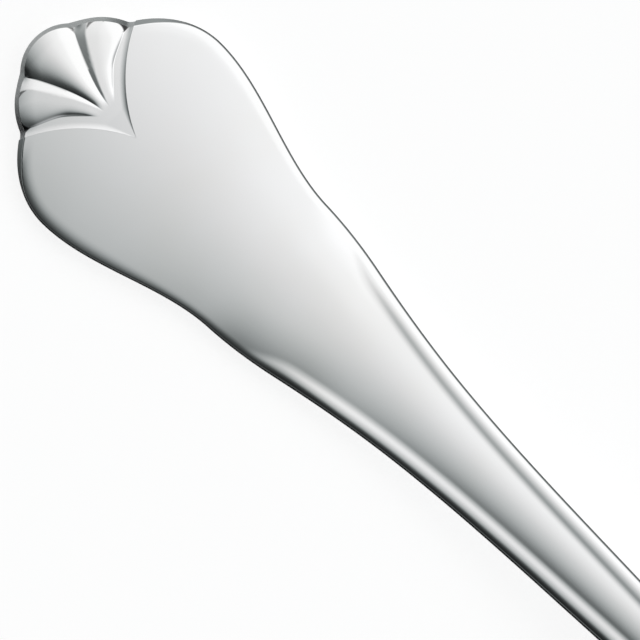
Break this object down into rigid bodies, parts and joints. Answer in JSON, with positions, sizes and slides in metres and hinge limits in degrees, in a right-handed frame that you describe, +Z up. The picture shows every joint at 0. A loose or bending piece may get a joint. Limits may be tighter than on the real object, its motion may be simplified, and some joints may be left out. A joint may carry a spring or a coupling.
{
  "type": "sugar spoon",
  "caption": "Polished silver sugar spoon: broad shallow bowl with a drop under the neck, arched stem with thread edges, and a wavy paddle end with a fan shell let into its tip.",
  "frame": {"origin": "on the table plane and the plane of symmetry, under the middle of the spoon's length", "axes": "+X from the fan's tip towards the front of the bowl, +Y across, +Z up out of the bowl"},
  "size_m": [0.14, 0.034, 0.0103],
  "materials": {
    "handle_silver": "mirror polish",
    "fan_silver": "mirror polish, a little darker in the grooves",
    "bowl_silver": "mirror polish",
    "drop_silver": "mirror polish"
  },
  "bodies": {
    "root": {"handle": "handle_silver", "fan_shell": "fan_silver", "bowl": "bowl_silver", "bowl_drop": "drop_silver"}
  },
  "joints": []
}
